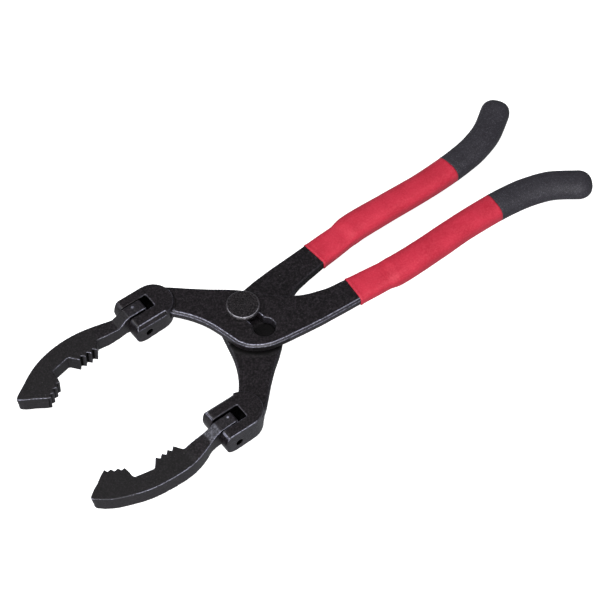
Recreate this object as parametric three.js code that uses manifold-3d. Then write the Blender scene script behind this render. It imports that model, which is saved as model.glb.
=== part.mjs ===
// Slip-joint oil filter pliers: two crossed forged levers on a headed pivot pin, each ending in a
// forged fork that carries a toothed swivel jaw on a roll pin, with two-tone dipped grips.
// Millimetres. +X runs along the tool to the handle ends, +Y across it, +Z up. The origin is the
// middle of the flat top of the pivot pin's head.
import * as THREE from 'three';
import { mergeVertices } from 'three/addons/utils/BufferGeometryUtils.js';
import Module from 'manifold-3d';

const wasm = await Module();
wasm.setup();

// ---- Driving dimensions --------------------------------------------------------------------

const GAP = 0.3; // running clearance between touching pieces
const PLATE = 6.8; // thickness of each lever's flat arm and handle bar
const OVER = 2; // how far a cutter reaches past the face that it cuts

const SLOT_PITCH = 20.8; // how far the upper lever sits across the tool from its mirror image
const SECOND_SEAT = [1.9, -0.5]; // the slip joint's open seat, in the upper lever's own plan
const SHANK_R = 7.1; // pivot pin's round shank
const SEAT_R = SHANK_R + GAP; // the round seats and the lower lever's bore
const FLATS = 8.4; // pin thickness across its two flats
const NECK = FLATS + 2 * GAP; // width of the slot between the seats

const HEAD_R = 11;
const HEAD_THICK = 3;
const HEAD_CHAMFER = 0.7;
const TAIL_R = 5.5; // reduced tail that carries the collar
const COLLAR_R = 9.5;
const COLLAR_THICK = 2;
const RIVET_R = 6.8; // tail end spread over the collar
const RIVET_THICK = 0.8;

// Heights above the plane where the levers meet.
const UPPER_Z = GAP / 2; // underside of the upper lever's plate
const LOWER_Z = -PLATE - GAP / 2; // underside of the lower lever's plate
const HEAD_LOW = UPPER_Z + PLATE + GAP;
const HEAD_TOP = HEAD_LOW + HEAD_THICK;

// The fork at the end of each lever, in the lever's own frame: z = 0 is the plate's underside.
const FORK_HALF = 13.1; // half its width, and the radius of its round back
const FORK_BACK_X = -44.2; // centre of the round back
const FORK_TOP = 10.2;
const FORK_SLOT = 10.4; // width of the slot that holds the jaw's tang
const FORK_SLOT_X = -45; // closed end of the slot
const FORK_SLOT_CORNER = 0.8; // radius of the slot's closed corners
const FORK_SLOT_TOE = 2.1; // how far the slot's closed end leans in at its foot
const FORK_SLOT_TOE_Z = -3; // where it starts to lean
const FORK_HEEL = 3.2; // how far the round back's lower edge is rounded off
const FORK_RISE = 1.5; // forging draft of the underside, from the ears up to the heel
const FORK_DRAFT = 2.1; // forging draft along the inner edge of the fork's top
const FORK_DRAFT_DROP = 2.6;

const JAW_PIN_X = -56;
const JAW_PIN_R = 2.15;
const JAW_PIN_BORE_R = 1.15;
const JAW_PIN_SLIT = 0.8;
const JAW_PIN_LENGTH = 21.6;

const JAW_LOW = -6.4;
const JAW_TOP = 3.95;
const TANG_END_X = -49.9;
const TANG_END_CHAMFER = 1.2; // along the top of the tang's end
const TANG_SHOULDER_X = -63.4; // where the tang's top starts to slope down to the jaw's
const TANG_TOE_X = -71.4; // where the slope reaches the jaw's top
const TANG_Y = [-64.1, -55.9]; // the tang's outer and inner faces

const JAW_ARC_R = 63.8; // outer edge of the jaw
const JAW_ARC_CENTRE = [-105, -6.1];
const JAW_ARC_END_X = -152.4; // where the outer edge meets the tip
const JAW_CORNER = 1.8; // radius of the jaw's inside corners
const TIP_CORNER = 1.7; // radius of the tip's outer corner
const NECK_ARC_X = -91; // where the outer edge turns straight towards the fork

// Handle: the centre line of the grip, and its half width and half height at each station.
const GRIP_START_X = 64.4;
const SECTION_POWER = 2.5; // superellipse exponent of the grip's cross-section
const FLAT_POWER = 6; // the same where the coating hugs the flat bar
const CAP_LENGTH = 9.4; // length of the rounded end past the last station
const GRIP_SIDES = 28;
const BAR_HALF = 5.6; // half width of the steel bar inside the grip
const HANDLE_END_X = 236; // centre of the grip's rounded end
const BAR_TAPER_X = 78; // where the bar has narrowed to that width

const STEEL = { color: 0x232226, roughness: 0.5, metalness: 0.85 };
const PIN_STEEL = { color: 0x2a282a, roughness: 0.42, metalness: 0.9 };
const RED_VINYL = { color: 0xc22740, roughness: 0.55, metalness: 0 };
const BLACK_VINYL = { color: 0x3b3b3f, roughness: 0.75, metalness: 0 };

// The two levers are left-hand and right-hand: the upper one is the lower one mirrored in Y, and
// it sits one seat along its slot. As forgings they differ a little in their forks' centre lines
// (forkY), slots (slotY), undersides (forkLow), cross pins (pinZ) and jaw tangs (tangTop), and in
// how far the handle's end is bent from bendStart on (endX, endY). The jaws hang loose on their
// pins, and the lower one droops by a few degrees.
const LOWER = {
  mirror: false,
  z: LOWER_Z,
  forkY: -59.6,
  slotY: -60.3,
  forkLow: -7.9,
  pinZ: -0.9,
  tangTop: 8.5,
  droop: 2.9,
  bendStart: 195,
  endX: -0.9,
  endY: 0.4,
};
const UPPER = {
  mirror: true,
  z: UPPER_Z,
  forkY: -57.5,
  slotY: -59.2,
  forkLow: -6.4,
  pinZ: 0.5,
  tangTop: 9.6,
  droop: 0,
  bendStart: 130,
  endX: 0.3,
  endY: 1,
};
const MEAN_FORK_Y = (LOWER.forkY + UPPER.forkY) / 2;

// ---- Solids --------------------------------------------------------------------------------

function solidOf(geometry) {
  const bare = geometry.clone();
  bare.deleteAttribute('normal');
  bare.deleteAttribute('uv');
  const merged = mergeVertices(bare, 1e-4);
  const vertProperties = new Float32Array(merged.attributes.position.array);
  const triVerts = new Uint32Array(merged.index.array);
  return new wasm.Manifold(new wasm.Mesh({ numProp: 3, vertProperties, triVerts }));
}

function geometryOf(solid) {
  const mesh = solid.getMesh();
  const geometry = new THREE.BufferGeometry();
  geometry.setAttribute('position', new THREE.BufferAttribute(mesh.vertProperties, mesh.numProp));
  geometry.setIndex(new THREE.BufferAttribute(mesh.triVerts, 1));
  return geometry;
}

function extrudeZ(points, low, high) {
  const shape = new THREE.Shape(points);
  const geometry = new THREE.ExtrudeGeometry(shape, { depth: high - low, bevelEnabled: false });
  geometry.translate(0, 0, low);
  return solidOf(geometry);
}

// Extrudes a side view, given as points of (x, z), across Y.
function extrudeY(profile, yLow, yHigh) {
  const shape = new THREE.Shape(profile);
  const geometry = new THREE.ExtrudeGeometry(shape, { depth: yHigh - yLow, bevelEnabled: false });
  geometry.rotateX(Math.PI / 2);
  geometry.translate(0, yHigh, 0);
  return solidOf(geometry);
}

// Extrudes a view along the tool, given as points of (y, z), along X.
function extrudeX(profile, xLow, xHigh) {
  const shape = new THREE.Shape(profile);
  const geometry = new THREE.ExtrudeGeometry(shape, { depth: xHigh - xLow, bevelEnabled: false });
  geometry.applyMatrix4(new THREE.Matrix4().set(0, 0, 1, xLow, 1, 0, 0, 0, 0, 1, 0, 0, 0, 0, 0, 1));
  return solidOf(geometry);
}

function box(low, high) {
  const size = high.map((value, axis) => value - low[axis]);
  const geometry = new THREE.BoxGeometry(...size);
  geometry.translate(...low.map((value, axis) => value + size[axis] / 2));
  return solidOf(geometry);
}

function roundZ(radius, low, high, x = 0, y = 0, sides = 48) {
  const geometry = new THREE.CylinderGeometry(radius, radius, high - low, sides);
  geometry.rotateX(Math.PI / 2);
  geometry.translate(x, y, (low + high) / 2);
  return solidOf(geometry);
}

function roundY(radius, low, high, x, z, sides = 32) {
  const geometry = new THREE.CylinderGeometry(radius, radius, high - low, sides);
  geometry.translate(x, (low + high) / 2, z);
  return solidOf(geometry);
}

// ---- Outlines ------------------------------------------------------------------------------

// A plan point of the lower lever, or the same point on the mirrored upper lever. Each handle's end
// is bent a little differently.
function onLever(lever, [x, y]) {
  const bent = THREE.MathUtils.smoothstep(x, lever.bendStart, HANDLE_END_X);
  const across = lever.mirror ? -y - SLOT_PITCH : y;
  return new THREE.Vector2(x + bent * lever.endX, across + bent * lever.endY);
}

// Y of a centre line on a lever, in the assembly.
function centreOn(lever, y) {
  return onLever(lever, [0, y]).y;
}

function curveThrough(points, divisions) {
  return new THREE.SplineCurve(points.map(([x, y]) => new THREE.Vector2(x, y)))
    .getPoints(divisions)
    .map((point) => [point.x, point.y]);
}

function arcPoints(centre, radius, fromDegrees, toDegrees, divisions) {
  const points = [];
  for (let i = 0; i <= divisions; i += 1) {
    const angle = THREE.MathUtils.degToRad(fromDegrees + ((toDegrees - fromDegrees) * i) / divisions);
    points.push([centre[0] + radius * Math.cos(angle), centre[1] + radius * Math.sin(angle)]);
  }
  return points;
}

// A corner between two straight runs, rounded to a radius.
function corner(before, at, after, radius) {
  const from = new THREE.Vector2(before[0] - at[0], before[1] - at[1]).normalize();
  const to = new THREE.Vector2(after[0] - at[0], after[1] - at[1]).normalize();
  const half = Math.acos(THREE.MathUtils.clamp(from.dot(to), -1, 1)) / 2;
  const setback = radius / Math.tan(half);
  const start = new THREE.Vector2(...at).addScaledVector(from, setback);
  const end = new THREE.Vector2(...at).addScaledVector(to, setback);
  return new THREE.QuadraticBezierCurve(start, new THREE.Vector2(...at), end)
    .getPoints(4)
    .map((point) => [point.x, point.y]);
}

// Arm, hub and handle bar of the lower lever, from the fork round the hub to the handle and back.
function plateOutline() {
  const armInside = curveThrough(
    [[-38.6, -46.4], [-32, -37.8], [-27.5, -30.1], [-24.3, -22.4], [-21.5, -12.2], [-19, -2]],
    18,
  );
  const hub = curveThrough(
    [[-19, -2], [-15.4, 4.5], [-9.6, 9.6], [-3.2, 12.7], [4, 13.7], [16, 14.6], [32, 16.2], [48, 17.3],
      [62, 18]],
    26,
  );
  const barOutside = curveThrough([[62, 18], [70, 17.9], [BAR_TAPER_X, 17.6]], 4);
  const bar = barSides();
  const barInside = [[BAR_TAPER_X, 17.6 - 2 * BAR_HALF], [70, 3.2]];
  const throat = curveThrough(
    [[62, 2], [52, 0.7], [43, -2.2], [34, -7.2], [24, -14.5], [16, -22.2], [10.3, -29], [6, -33.4]],
    22,
  );
  const armOutside = curveThrough(
    [[6, -33.4], [0, -38.6], [-8.6, -45.2], [-18.7, -54], [-28.6, -63.2], [-37.4, -70]],
    14,
  );
  const insideFork = [[-46, -66], [-46, -52]];
  return [...armInside, ...hub.slice(1), ...barOutside.slice(1), ...bar.outer, ...bar.inner,
    ...barInside, ...throat, ...armOutside.slice(1), ...insideFork];
}

// The plate outline on a lever, its arm leaning to meet that lever's own fork.
function platePoints(lever) {
  return plateOutline().map(([x, y]) => {
    const lean = THREE.MathUtils.smoothstep(-x, 8, 36) * (lever.forkY - MEAN_FORK_Y);
    return onLever(lever, [x, y + lean]);
  });
}

// ---- Grip path -----------------------------------------------------------------------------

// Stations along the grip: [x, y, half width, half height, superellipse exponent].
const GRIP_STATIONS = [
  [GRIP_START_X, 10.2, 8.5, 4.3, FLAT_POWER],
  [77, 11.3, 8.4, 4.4, FLAT_POWER],
  [87, 12.2, 8.4, 4.7, 5],
  [97, 13.5, 9.5, 6.4, 3],
  [110, 13.7, 9.7, 7.1, SECTION_POWER],
  [130, 13.2, 9.4, 7.2, SECTION_POWER],
  [154, 12.5, 9.1, 7.2, SECTION_POWER],
  [174, 13, 9.1, 7.2, SECTION_POWER],
  [192, 14.5, 9.2, 7.2, SECTION_POWER],
  [206, 17, 9.3, 7.3, SECTION_POWER],
  [221, 22.2, 9.4, 7.4, SECTION_POWER],
  [HANDLE_END_X, 32, 9.7, 7.5, SECTION_POWER],
];
const GRIP_STEPS = 44;
const GRIP_JOIN = 0.664; // share of the path where the red coating ends and the black tip starts

const gripPath = new THREE.SplineCurve(GRIP_STATIONS.map(([x, y]) => new THREE.Vector2(x, y)));

// Half width, half height and exponent at a share of the path, smoothly between the stations.
function gripSection(share) {
  const last = GRIP_STATIONS.length - 1;
  const at = Math.min(share * last, last - 1e-9);
  const index = Math.floor(at);
  const blend = THREE.MathUtils.smoothstep(at - index, 0, 1);
  const from = GRIP_STATIONS[index];
  const to = GRIP_STATIONS[index + 1];
  return [2, 3, 4].map((column) => THREE.MathUtils.lerp(from[column], to[column], blend));
}

function sectionPoint(angle, halfWidth, halfHeight, power) {
  const cos = Math.cos(angle);
  const sin = Math.sin(angle);
  const across = Math.sign(cos) * Math.abs(cos) ** (2 / power) * halfWidth;
  const up = Math.sign(sin) * Math.abs(sin) ** (2 / power) * halfHeight;
  return [across, up];
}

// Both sides of the steel bar inside the grip, out to its rounded end.
function barSides() {
  const outer = [];
  const inner = [];
  const steps = 16;
  for (let i = 1; i <= steps; i += 1) {
    const share = 0.19 + (0.81 * i) / steps;
    const point = gripPath.getPoint(share);
    const tangent = gripPath.getTangent(share);
    outer.push([point.x - tangent.y * BAR_HALF, point.y + tangent.x * BAR_HALF]);
    inner.unshift([point.x + tangent.y * BAR_HALF, point.y - tangent.x * BAR_HALF]);
  }
  return { outer, inner };
}

// A closed sweep along the grip path between two shares of it. The last ring may be followed by a
// rounded cap.
function gripSweep(lever, from, to, capped) {
  const rings = [];
  const addRing = (point, tangent, scale, [halfWidth, halfHeight, power]) => {
    const ring = [];
    for (let side = 0; side < GRIP_SIDES; side += 1) {
      const angle = (side / GRIP_SIDES) * 2 * Math.PI;
      const [across, up] = sectionPoint(angle, halfWidth * scale, halfHeight * scale, power);
      const plan = onLever(lever, [point.x - tangent.y * across, point.y + tangent.x * across]);
      ring.push([plan.x, plan.y, PLATE / 2 + up]);
    }
    rings.push(ring);
  };
  const steps = Math.round(GRIP_STEPS * (to - from));
  for (let i = 0; i <= steps; i += 1) {
    const share = from + ((to - from) * i) / steps;
    addRing(gripPath.getPoint(share), gripPath.getTangent(share), 1, gripSection(share));
  }
  if (capped) {
    const end = gripPath.getPoint(1);
    const tangent = gripPath.getTangent(1);
    for (const turn of [0.2, 0.4, 0.6, 0.8, 0.93]) {
      const angle = turn * (Math.PI / 2);
      const point = end.clone().addScaledVector(tangent, CAP_LENGTH * Math.sin(angle));
      addRing(point, tangent, Math.cos(angle) ** 0.8, gripSection(1));
    }
  }
  return loft(rings, lever.mirror);
}

// A closed solid through rings of points, with flat ends.
function loft(rings, reversed) {
  const sides = rings[0].length;
  const position = rings.flat(2);
  const index = [];
  const triangle = (a, b, c) => index.push(...(reversed ? [a, c, b] : [a, b, c]));
  for (let ring = 0; ring < rings.length - 1; ring += 1) {
    for (let side = 0; side < sides; side += 1) {
      const next = (side + 1) % sides;
      const near = ring * sides;
      const far = near + sides;
      triangle(near + side, near + next, far + side);
      triangle(near + next, far + next, far + side);
    }
  }
  const end = (rings.length - 1) * sides;
  for (let side = 1; side < sides - 1; side += 1) {
    triangle(0, side + 1, side);
    triangle(end, end + side, end + side + 1);
  }
  const geometry = new THREE.BufferGeometry();
  geometry.setAttribute('position', new THREE.Float32BufferAttribute(position, 3));
  geometry.setIndex(index);
  return solidOf(geometry);
}

// ---- Levers --------------------------------------------------------------------------------

function plateSolid(lever) {
  return extrudeZ(platePoints(lever), 0, PLATE);
}

// Side view of the fork: flat top, ears rounded under the jaw, and an underside that rises to the
// heel.
function forkProfile(low) {
  const nose = curveThrough(
    [[-63.3, FORK_TOP], [-65, 6.4], [-65.8, 1.6], [-64.9, low + 3.6], [-62, low + 0.9], [-58, low]],
    14,
  );
  const back = FORK_BACK_X + FORK_HALF;
  const heelLow = low + FORK_RISE;
  const heel = arcPoints([back - FORK_HEEL, heelLow + FORK_HEEL], FORK_HEEL, -90, 0, 5);
  const points = [[back, FORK_TOP], ...nose, ...heel];
  return points.map(([x, z]) => new THREE.Vector2(x, z));
}

function forkSolid(lever) {
  const front = FORK_BACK_X - 2 * FORK_HALF;
  const back = arcPoints([FORK_BACK_X, lever.forkY], FORK_HALF, -90, 90, 20);
  const plan = [[front, lever.forkY - FORK_HALF], ...back, [front, lever.forkY + FORK_HALF]];
  const block = extrudeZ(plan.map((point) => onLever(lever, point)), lever.forkLow, FORK_TOP);
  const centre = centreOn(lever, lever.forkY);
  const side = extrudeY(forkProfile(lever.forkLow), centre - 2 * FORK_HALF, centre + 2 * FORK_HALF);
  return block.intersect(side);
}

// The wedge that the forging draft takes off the inner edge of the fork's top.
function draftCutter(lever) {
  const inner = lever.forkY + FORK_HALF;
  const wedge = [
    [inner - FORK_DRAFT, FORK_TOP],
    [inner + OVER, FORK_TOP - FORK_DRAFT_DROP * (1 + OVER / FORK_DRAFT)],
    [inner + OVER, FORK_TOP + OVER],
    [inner - FORK_DRAFT, FORK_TOP + OVER],
  ].map(([y, z]) => new THREE.Vector2(centreOn(lever, y), z));
  return extrudeX(wedge, FORK_BACK_X - 2 * FORK_HALF, FORK_BACK_X + 2);
}

function forkCutters(lever) {
  const centre = centreOn(lever, lever.forkY);
  const front = FORK_BACK_X - 2 * FORK_HALF - OVER;
  const cornerX = FORK_SLOT_X - FORK_SLOT_CORNER;
  const cornerY = FORK_SLOT / 2 - FORK_SLOT_CORNER;
  const outline = [
    [front, lever.slotY - FORK_SLOT / 2],
    ...arcPoints([cornerX, lever.slotY - cornerY], FORK_SLOT_CORNER, -90, 0, 4),
    ...arcPoints([cornerX, lever.slotY + cornerY], FORK_SLOT_CORNER, 0, 90, 4),
    [front, lever.slotY + FORK_SLOT / 2],
  ].map((point) => onLever(lever, point));
  const toe = [
    [FORK_SLOT_X + OVER, FORK_SLOT_TOE_Z],
    [FORK_SLOT_X, FORK_SLOT_TOE_Z],
    [FORK_SLOT_X - FORK_SLOT_TOE, lever.forkLow],
    [FORK_SLOT_X - FORK_SLOT_TOE, lever.forkLow - 2 * OVER],
    [FORK_SLOT_X + OVER, lever.forkLow - 2 * OVER],
  ].map(([x, z]) => new THREE.Vector2(x, z));
  const slot = extrudeZ(outline, lever.forkLow - OVER, FORK_TOP + OVER)
    .subtract(extrudeY(toe, centre - 2 * FORK_HALF, centre + 2 * FORK_HALF));
  const reach = FORK_HALF + OVER;
  const bore = roundY(JAW_PIN_R + GAP, centre - reach, centre + reach, JAW_PIN_X, lever.pinZ);
  return slot.add(bore).add(draftCutter(lever));
}

// Turn of the slip joint's slot away from straight across the tool, in degrees.
function slotTurn() {
  const seat = onLever(UPPER, SECOND_SEAT);
  return THREE.MathUtils.radToDeg(Math.atan2(seat.x, -seat.y));
}

// The lower lever has one round bore. The upper one has two seats joined by a narrower neck.
function pivotCutter(lever) {
  const bore = roundZ(SEAT_R, -OVER, PLATE + OVER);
  if (!lever.mirror) {
    return bore;
  }
  const seat = onLever(lever, SECOND_SEAT);
  const second = roundZ(SEAT_R, -OVER, PLATE + OVER, seat.x, seat.y);
  const neck = box([-NECK / 2, -seat.length(), -OVER], [NECK / 2, 0, PLATE + OVER]);
  return bore.add(second).add(neck.rotate([0, 0, slotTurn()]));
}

function leverSolid(lever) {
  return plateSolid(lever).add(forkSolid(lever)).subtract(forkCutters(lever)).subtract(pivotCutter(lever));
}

// ---- Jaws ----------------------------------------------------------------------------------

// Plan of a jaw: tip teeth, hollow, inner teeth, neck, tang, and the long outer curve.
function jawOutline() {
  const tipTeeth = [[-135.3, -39.9], [-134.5, -42.6], [-131.7, -42.1], [-130.9, -44.9], [-127.9, -44.3],
    [-127.1, -47], [-124.5, -46.5]];
  const hollow = [...corner([-124.5, -46.5], [-123.3, -54.6], [-117, -55.9], JAW_CORNER),
    ...corner([-117, -55.9], [-109.5, -57.5], [-104.5, -51.3], JAW_CORNER)];
  const innerTeeth = [[-104.5, -51.3], [-102.6, -53.9], [-100.1, -51.5], [-98.2, -54], [-95.8, -51.4],
    [-93.8, -53.9], [-91.5, -51.4]];
  const neck = [...corner([-91.5, -51.4], [-87.4, -57.4], [-80, -56.3], JAW_CORNER),
    [-80, -56.3], [-72, -55.6], [-66, -56.2]];
  const tang = [[-63, TANG_Y[1]], [TANG_END_X - 0.8, TANG_Y[1]], [TANG_END_X, TANG_Y[1] - 0.8],
    [TANG_END_X, TANG_Y[0] + 0.8], [TANG_END_X - 0.8, TANG_Y[0]], [-67, TANG_Y[0]]];
  const arcAngle = (x) => {
    const angle = Math.acos((x - JAW_ARC_CENTRE[0]) / JAW_ARC_R);
    return -THREE.MathUtils.radToDeg(angle);
  };
  const shoulder = [[-75.5, -65.3]];
  const outer = arcPoints(JAW_ARC_CENTRE, JAW_ARC_R, arcAngle(NECK_ARC_X), arcAngle(JAW_ARC_END_X + 4), 22);
  const tip = corner(outer[outer.length - 1], [-153.4, -49.6], [-135.3, -39.9], TIP_CORNER);
  return [...tipTeeth, ...hollow, ...innerTeeth, ...neck, ...tang, ...shoulder, ...outer, ...tip];
}

// Side view of a jaw: thin along the teeth, full height in the fork.
function jawProfile(top) {
  const front = JAW_ARC_END_X - OVER;
  return [[front, JAW_LOW], [TANG_END_X, JAW_LOW], [TANG_END_X, top - TANG_END_CHAMFER],
    [TANG_END_X - TANG_END_CHAMFER, top], [TANG_SHOULDER_X, top], [TANG_TOE_X, JAW_TOP],
    [front, JAW_TOP]].map(([x, z]) => new THREE.Vector2(x, z));
}

function jawSolid(lever) {
  const outline = jawOutline().map((point) => onLever(lever, point));
  const plan = extrudeZ(outline, JAW_LOW, lever.tangTop);
  const centre = centreOn(lever, lever.forkY);
  const reach = 3 * FORK_HALF;
  const side = extrudeY(jawProfile(lever.tangTop), centre - reach, centre + reach);
  const bore = roundY(JAW_PIN_R + GAP, centre - FORK_HALF, centre + FORK_HALF, JAW_PIN_X, lever.pinZ);
  return plan.intersect(side).subtract(bore);
}

// A rolled spring pin: a tube with a slit along it.
function jawPinSolid(lever) {
  const centre = centreOn(lever, lever.forkY);
  const half = JAW_PIN_LENGTH / 2;
  const past = half + OVER;
  const tube = roundY(JAW_PIN_R, centre - half, centre + half, JAW_PIN_X, lever.pinZ, 28);
  const bore = roundY(JAW_PIN_BORE_R, centre - past, centre + past, JAW_PIN_X, lever.pinZ, 20);
  const slit = box(
    [JAW_PIN_X, centre - past, lever.pinZ - JAW_PIN_SLIT / 2],
    [JAW_PIN_X + 2 * JAW_PIN_R, centre + past, lever.pinZ + JAW_PIN_SLIT / 2],
  );
  return tube.subtract(bore).subtract(slit);
}

// ---- Pivot ---------------------------------------------------------------------------------

function pivotPinSolid() {
  const collarTop = LOWER_Z - GAP;
  const rivetTop = collarTop - COLLAR_THICK - GAP;
  const profile = [
    [0, rivetTop - RIVET_THICK],
    [RIVET_R - 0.5, rivetTop - RIVET_THICK],
    [RIVET_R, rivetTop - 0.3],
    [RIVET_R, rivetTop],
    [TAIL_R, rivetTop],
    [TAIL_R, collarTop],
    [SHANK_R, collarTop],
    [SHANK_R, HEAD_LOW],
    [HEAD_R, HEAD_LOW],
    [HEAD_R, HEAD_TOP - HEAD_CHAMFER],
    [HEAD_R - HEAD_CHAMFER, HEAD_TOP],
    [0, HEAD_TOP],
  ].map(([radius, z]) => new THREE.Vector2(radius, z));
  const geometry = new THREE.LatheGeometry(profile, 56);
  geometry.rotateX(Math.PI / 2);
  const flatLow = UPPER_Z - GAP / 2;
  const flats = [-1, 1].map((side) => {
    const near = (side * FLATS) / 2;
    const far = side * (SHANK_R + OVER);
    return box([Math.min(near, far), -HEAD_R, flatLow], [Math.max(near, far), HEAD_R, HEAD_LOW]);
  });
  const cut = flats[0].add(flats[1]).rotate([0, 0, slotTurn()]);
  return solidOf(geometry).subtract(cut);
}

function collarSolid() {
  const top = LOWER_Z - GAP;
  const ring = roundZ(COLLAR_R, top - COLLAR_THICK, top);
  return ring.subtract(roundZ(TAIL_R + GAP, top - COLLAR_THICK - OVER, top + OVER));
}

// ---- Grips ---------------------------------------------------------------------------------

// The space that the steel bar takes inside a grip, with its clearance.
function barSpace(lever) {
  const sides = barSides();
  const bar = extrudeZ(platePoints(lever), -GAP, PLATE + GAP);
  const wide = [];
  for (const [dx, dy] of [[GAP, 0], [-GAP, 0], [0, GAP], [0, -GAP]]) {
    wide.push(bar.translate([dx, dy, 0]));
  }
  const end = sides.outer[sides.outer.length - 1];
  const start = box([GRIP_START_X - OVER, -60, -20], [end[0] + 40, 60, 20]);
  return wide.reduce((sum, piece) => sum.add(piece), bar).intersect(start);
}

function gripSolid(lever) {
  return gripSweep(lever, 0, GRIP_JOIN, false).subtract(barSpace(lever));
}

function tipSolid(lever) {
  const gapShare = GAP / gripPath.getLength();
  return gripSweep(lever, GRIP_JOIN + gapShare, 1, true).subtract(barSpace(lever));
}

// ---- Assembly ------------------------------------------------------------------------------

function piece(name, solid, look, z = 0) {
  const mesh = new THREE.Mesh(geometryOf(solid), new THREE.MeshStandardMaterial(look));
  mesh.name = name;
  mesh.position.z = z;
  return mesh;
}

function leverGroup(lever, name) {
  const group = new THREE.Group();
  group.position.z = lever.z;
  group.add(
    piece(`lever_${name}`, leverSolid(lever), STEEL),
    piece(`jaw_pin_${name}`, jawPinSolid(lever), PIN_STEEL),
    piece(`grip_${name}`, gripSolid(lever), RED_VINYL),
    piece(`grip_tip_${name}`, tipSolid(lever), BLACK_VINYL),
  );
  const onPin = new THREE.Group();
  onPin.position.set(JAW_PIN_X, 0, lever.pinZ);
  onPin.rotation.y = -THREE.MathUtils.degToRad(lever.droop);
  const jaw = piece(`jaw_${name}`, jawSolid(lever), STEEL);
  jaw.position.set(-JAW_PIN_X, 0, -lever.pinZ);
  onPin.add(jaw);
  group.add(onPin);
  return group;
}

const pliers = new THREE.Group();
pliers.position.z = -HEAD_TOP;
pliers.add(
  leverGroup(LOWER, 'lower'),
  leverGroup(UPPER, 'upper'),
  piece('pivot_pin', pivotPinSolid(), PIN_STEEL),
  piece('pivot_collar', collarSolid(), PIN_STEEL),
);

export default pliers;
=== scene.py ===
"""Looks of the slip-joint oil filter wrench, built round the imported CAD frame.

Lengths in the tables below are millimetres in the CAD frame; MM turns them into metres.
"""
import math

import bmesh
import bpy
import numpy as np
from mathutils import Matrix, Vector, kdtree, noise


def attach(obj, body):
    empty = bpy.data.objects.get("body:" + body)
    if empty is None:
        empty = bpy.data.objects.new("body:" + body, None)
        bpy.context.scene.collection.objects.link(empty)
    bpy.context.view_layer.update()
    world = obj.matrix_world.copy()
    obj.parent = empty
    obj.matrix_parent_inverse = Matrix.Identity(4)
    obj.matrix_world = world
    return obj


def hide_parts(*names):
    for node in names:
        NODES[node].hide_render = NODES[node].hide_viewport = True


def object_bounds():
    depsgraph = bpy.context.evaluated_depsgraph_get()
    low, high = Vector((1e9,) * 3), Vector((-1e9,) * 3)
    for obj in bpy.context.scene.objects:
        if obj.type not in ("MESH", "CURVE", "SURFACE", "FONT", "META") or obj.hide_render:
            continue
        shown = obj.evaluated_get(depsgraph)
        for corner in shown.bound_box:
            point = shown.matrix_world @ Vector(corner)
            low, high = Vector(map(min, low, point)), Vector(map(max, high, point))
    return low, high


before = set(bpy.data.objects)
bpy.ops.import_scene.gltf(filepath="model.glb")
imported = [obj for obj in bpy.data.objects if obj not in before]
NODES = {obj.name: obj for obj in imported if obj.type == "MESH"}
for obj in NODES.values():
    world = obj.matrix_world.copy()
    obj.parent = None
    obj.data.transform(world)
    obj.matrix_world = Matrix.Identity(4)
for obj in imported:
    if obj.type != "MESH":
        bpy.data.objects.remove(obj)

MM = 0.001
CAD_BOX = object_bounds()

# ---- CAD sizes that the pieces follow ----------------------------------------------------------

SLOT_PITCH = 20.8  # the upper lever mirrors the lower one about y = -SLOT_PITCH / 2
PLATE = 6.8
HANDLE_END_X = 236.0
LEVERS = {
    "lower": {"mirror": False, "z": -17.2, "fork_y": -59.6, "slot_y": -60.3, "pin_z": -18.1,
              "bend": (195.0, -0.9, 0.4), "droop": 0.0507},
    "upper": {"mirror": True, "z": -10.1, "fork_y": 36.7, "slot_y": 38.4, "pin_z": -9.6,
              "bend": (130.0, 0.3, 1.0), "droop": 0.0},
}
FORK_HALF = 13.1
FORK_BACK_X = -44.2
FORK_FRONT_X = -64.0
FORK_TOP = 10.2
SLOT_HALF = 5.2
SLOT_END_X = -45.0
PIN_X = -56.0
PIN_BORE_R = 2.45
OPEN_SEAT = (1.9, -20.3)
SEAT_R = 7.4


def on_lever(lever, x, y, z):
    """A point of the lower lever's own plan, on that lever, in CAD millimetres."""
    start, end_x, end_y = lever["bend"]
    t = min(max((x - start) / (HANDLE_END_X - start), 0.0), 1.0)
    t = t * t * (3 - 2 * t)
    across = -y - SLOT_PITCH if lever["mirror"] else y
    return Vector((x + t * end_x, across + t * end_y, z + lever["z"]))


def ramp(values, low, high):
    """0 below low, 1 above high, smooth between; low may be the larger."""
    t = np.clip((values - low) / (high - low), 0, 1)
    return t * t * (3 - 2 * t)


def first(rules, otherwise):
    """At each point, the value of the first (condition, value) rule that holds."""
    conditions, values = zip(*rules)
    return np.select(list(conditions), list(values), otherwise)


def raise_mark(marks, key, values):
    """Lifts one of the marks to at least these values."""
    marks[key] = np.maximum(marks[key], values)


# ---- Mesh helpers ------------------------------------------------------------------------------

BEVEL_ANGLE = math.radians(35)  # edges blunter than this are left alone
SHARP_ANGLE = math.radians(24)  # outward edges sharper than this can be rubbed bare and given a painted highlight
HOLLOW = 0.045  # depth below the neighbours' mean, in voxels, at which the painted shade of the hollows begins


def cad_bmesh(node):
    """The CAD node's mesh with its flat faces joined up again."""
    bm = bmesh.new()
    bm.from_mesh(NODES[node].data)
    bmesh.ops.remove_doubles(bm, verts=bm.verts, dist=1e-7)
    bmesh.ops.dissolve_limit(bm, angle_limit=math.radians(1.0), verts=bm.verts, edges=bm.edges)
    return bm


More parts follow.
